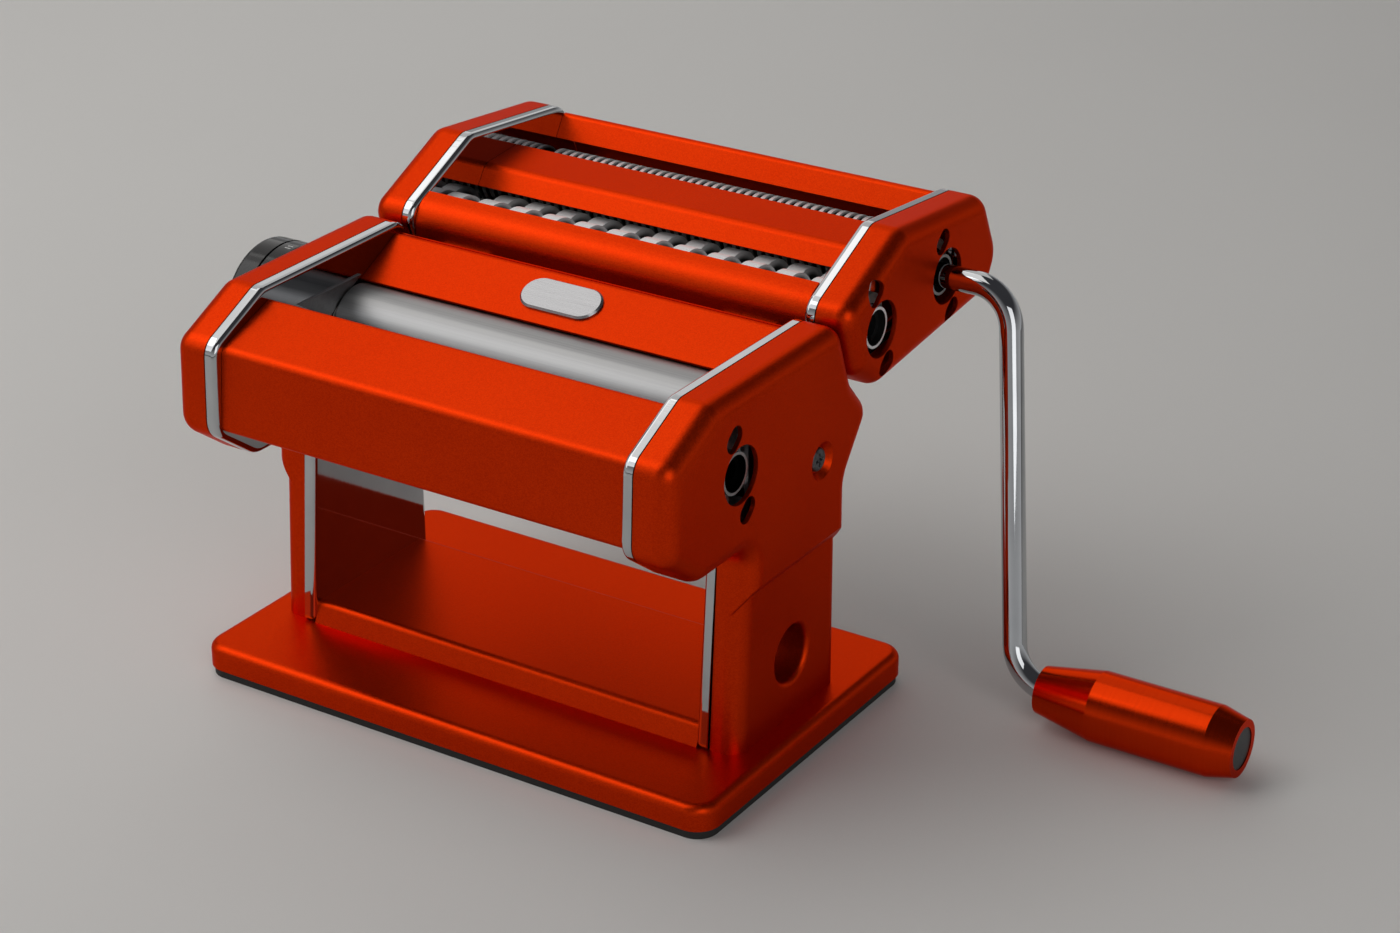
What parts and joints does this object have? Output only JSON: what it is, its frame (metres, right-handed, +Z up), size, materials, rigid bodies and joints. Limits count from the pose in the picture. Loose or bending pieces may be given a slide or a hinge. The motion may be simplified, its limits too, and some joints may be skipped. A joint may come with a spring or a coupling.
{
  "type": "pasta roller machine",
  "caption": "Tabletop pasta roller with two smooth rollers, a gap-setting knob, a lift-off noodle cutter and a pull-out hand crank, on a flat base.",
  "frame": {"origin": "on the table, under the middle of the base", "axes": "+X along the rollers towards the crank, +Y from the feed front towards the cutter, +Z up"},
  "size_m": [0.3302, 0.1998, 0.1553],
  "materials": {
    "red_satin": "satin metallic red lacquer on aluminium",
    "bright_chrome": "mirror chrome plate",
    "brushed_aluminium": "anodised, brushed",
    "plain_steel": "zinc-plated steel",
    "white_nylon": "moulded",
    "black_gloss": "gloss moulded",
    "black_sole": "matte moulded"
  },
  "bodies": {
    "machine_body": {"base_pan": "red_satin", "base_sole": "black_sole", "side_plate_left": "bright_chrome", "side_plate_right": "bright_chrome", "end_cover_left": "red_satin", "end_cover_right": "red_satin", "front_panel": "red_satin", "feed_plate": "red_satin", "feed_plaque": "bright_chrome", "rear_panel": "red_satin", "hanger_brackets": "plain_steel", "tie_rods": "plain_steel", "hopper_end_guards": "brushed_aluminium", "front_scraper": "white_nylon", "rear_scraper": "white_nylon", "front_roller_bushes": "white_nylon", "gap_axle_bush": "white_nylon", "gear_bracket": "plain_steel", "gear_bracket_posts": "plain_steel", "cover_posts": "plain_steel", "cover_screws": "plain_steel", "frame_screws": "plain_steel", "dial_ring": "black_gloss"},
    "front_roller_body": {"front_roller": "brushed_aluminium", "front_roller_gear": "plain_steel"},
    "gap_axle_body": {"gap_axle": "plain_steel", "knob_retaining_screw": "plain_steel"},
    "gap_knob_body": {"gap_knob": "black_gloss", "knob_index_pin": "plain_steel", "knob_cap": "black_gloss", "knob_spring": "plain_steel"},
    "rear_bush_body": {"rear_roller_bushes": "white_nylon"},
    "rear_roller_body": {"rear_roller": "brushed_aluminium", "rear_roller_gear": "plain_steel"},
    "cutter_unit": {"cutter_side_plate_left": "bright_chrome", "cutter_side_plate_right": "bright_chrome", "cutter_end_cover_left": "red_satin", "cutter_end_cover_right": "red_satin", "cutter_front_plate": "red_satin", "cutter_divider": "red_satin", "cutter_back_plate": "red_satin", "cutter_hooks": "plain_steel", "cutter_tie_rods": "plain_steel", "cutter_screws": "plain_steel", "cutter_drive_bushes": "white_nylon", "cutter_idler_bushes": "white_nylon", "wide_combs": "white_nylon", "narrow_combs": "white_nylon"},
    "wide_driven_body": {"wide_cutter_driven": "brushed_aluminium", "wide_driven_gear": "plain_steel"},
    "wide_idler_body": {"wide_cutter_idler": "brushed_aluminium", "wide_idler_gear": "plain_steel"},
    "narrow_driven_body": {"narrow_cutter_driven": "brushed_aluminium", "narrow_driven_gear": "plain_steel"},
    "narrow_idler_body": {"narrow_cutter_idler": "brushed_aluminium", "narrow_idler_gear": "plain_steel"},
    "crank_body": {"crank_rod": "bright_chrome", "crank_pin": "plain_steel"},
    "crank_grip_body": {"crank_grip": "red_satin", "grip_cap": "black_gloss"}
  },
  "joints": [
    {"name": "front_roller_spin", "type": "hinge", "parent": "machine_body", "child": "front_roller_body", "pos_m": [0, -0.0332, 0.1105], "axis": [1, 0, 0], "continuous": true},
    {"name": "knob_turn", "type": "hinge", "parent": "machine_body", "child": "gap_axle_body", "pos_m": [0, -0.0042, 0.1105], "axis": [-1, 0, 0], "range_deg": [0, 180]},
    {"name": "knob_pull", "type": "slide", "parent": "gap_axle_body", "child": "gap_knob_body", "axis": [-1, 0, 0], "range_m": [0, 0.004], "stiffness_N_per_m": 600, "springref_m": -0.004, "deforming": ["knob_spring"]},
    {"name": "rear_bush_turn", "type": "hinge", "parent": "gap_axle_body", "child": "rear_bush_body", "pos_m": [0, -0.002, 0.1105], "axis": [-1, 0, 0], "range_deg": [-180, 0]},
    {"name": "rear_roller_spin", "type": "hinge", "parent": "rear_bush_body", "child": "rear_roller_body", "pos_m": [0, -0.002, 0.1105], "axis": [1, 0, 0], "continuous": true},
    {"name": "cutter_lift", "type": "slide", "parent": "machine_body", "child": "cutter_unit", "axis": [0, 0, 1], "range_m": [0, 0.04]},
    {"name": "wide_cutter_spin", "type": "hinge", "parent": "cutter_unit", "child": "wide_driven_body", "pos_m": [0, 0.0493, 0.1278], "axis": [1, 0, 0], "continuous": true},
    {"name": "wide_idler_spin", "type": "hinge", "parent": "cutter_unit", "child": "wide_idler_body", "pos_m": [0, 0.06795, 0.1221], "axis": [1, 0, 0], "continuous": true},
    {"name": "narrow_cutter_spin", "type": "hinge", "parent": "cutter_unit", "child": "narrow_driven_body", "pos_m": [0, 0.0916, 0.1313], "axis": [1, 0, 0], "continuous": true},
    {"name": "narrow_idler_spin", "type": "hinge", "parent": "cutter_unit", "child": "narrow_idler_body", "pos_m": [0, 0.11021, 0.127], "axis": [1, 0, 0], "continuous": true},
    {"name": "crank_pull", "type": "slide", "parent": "narrow_driven_body", "child": "crank_body", "axis": [1, 0, 0], "range_m": [0, 0.02]},
    {"name": "grip_spin", "type": "hinge", "parent": "crank_body", "child": "crank_grip_body", "pos_m": [0, 0.0595, 0.01175], "axis": [1, 0, 0], "continuous": true}
  ],
  "couplings": [
    {"joint": "rear_bush_turn", "follows": "knob_turn", "ratio": -1},
    {"joint": "rear_roller_spin", "follows": "front_roller_spin", "ratio": -1},
    {"joint": "wide_idler_spin", "follows": "wide_cutter_spin", "ratio": -1},
    {"joint": "narrow_idler_spin", "follows": "narrow_cutter_spin", "ratio": -1}
  ]
}
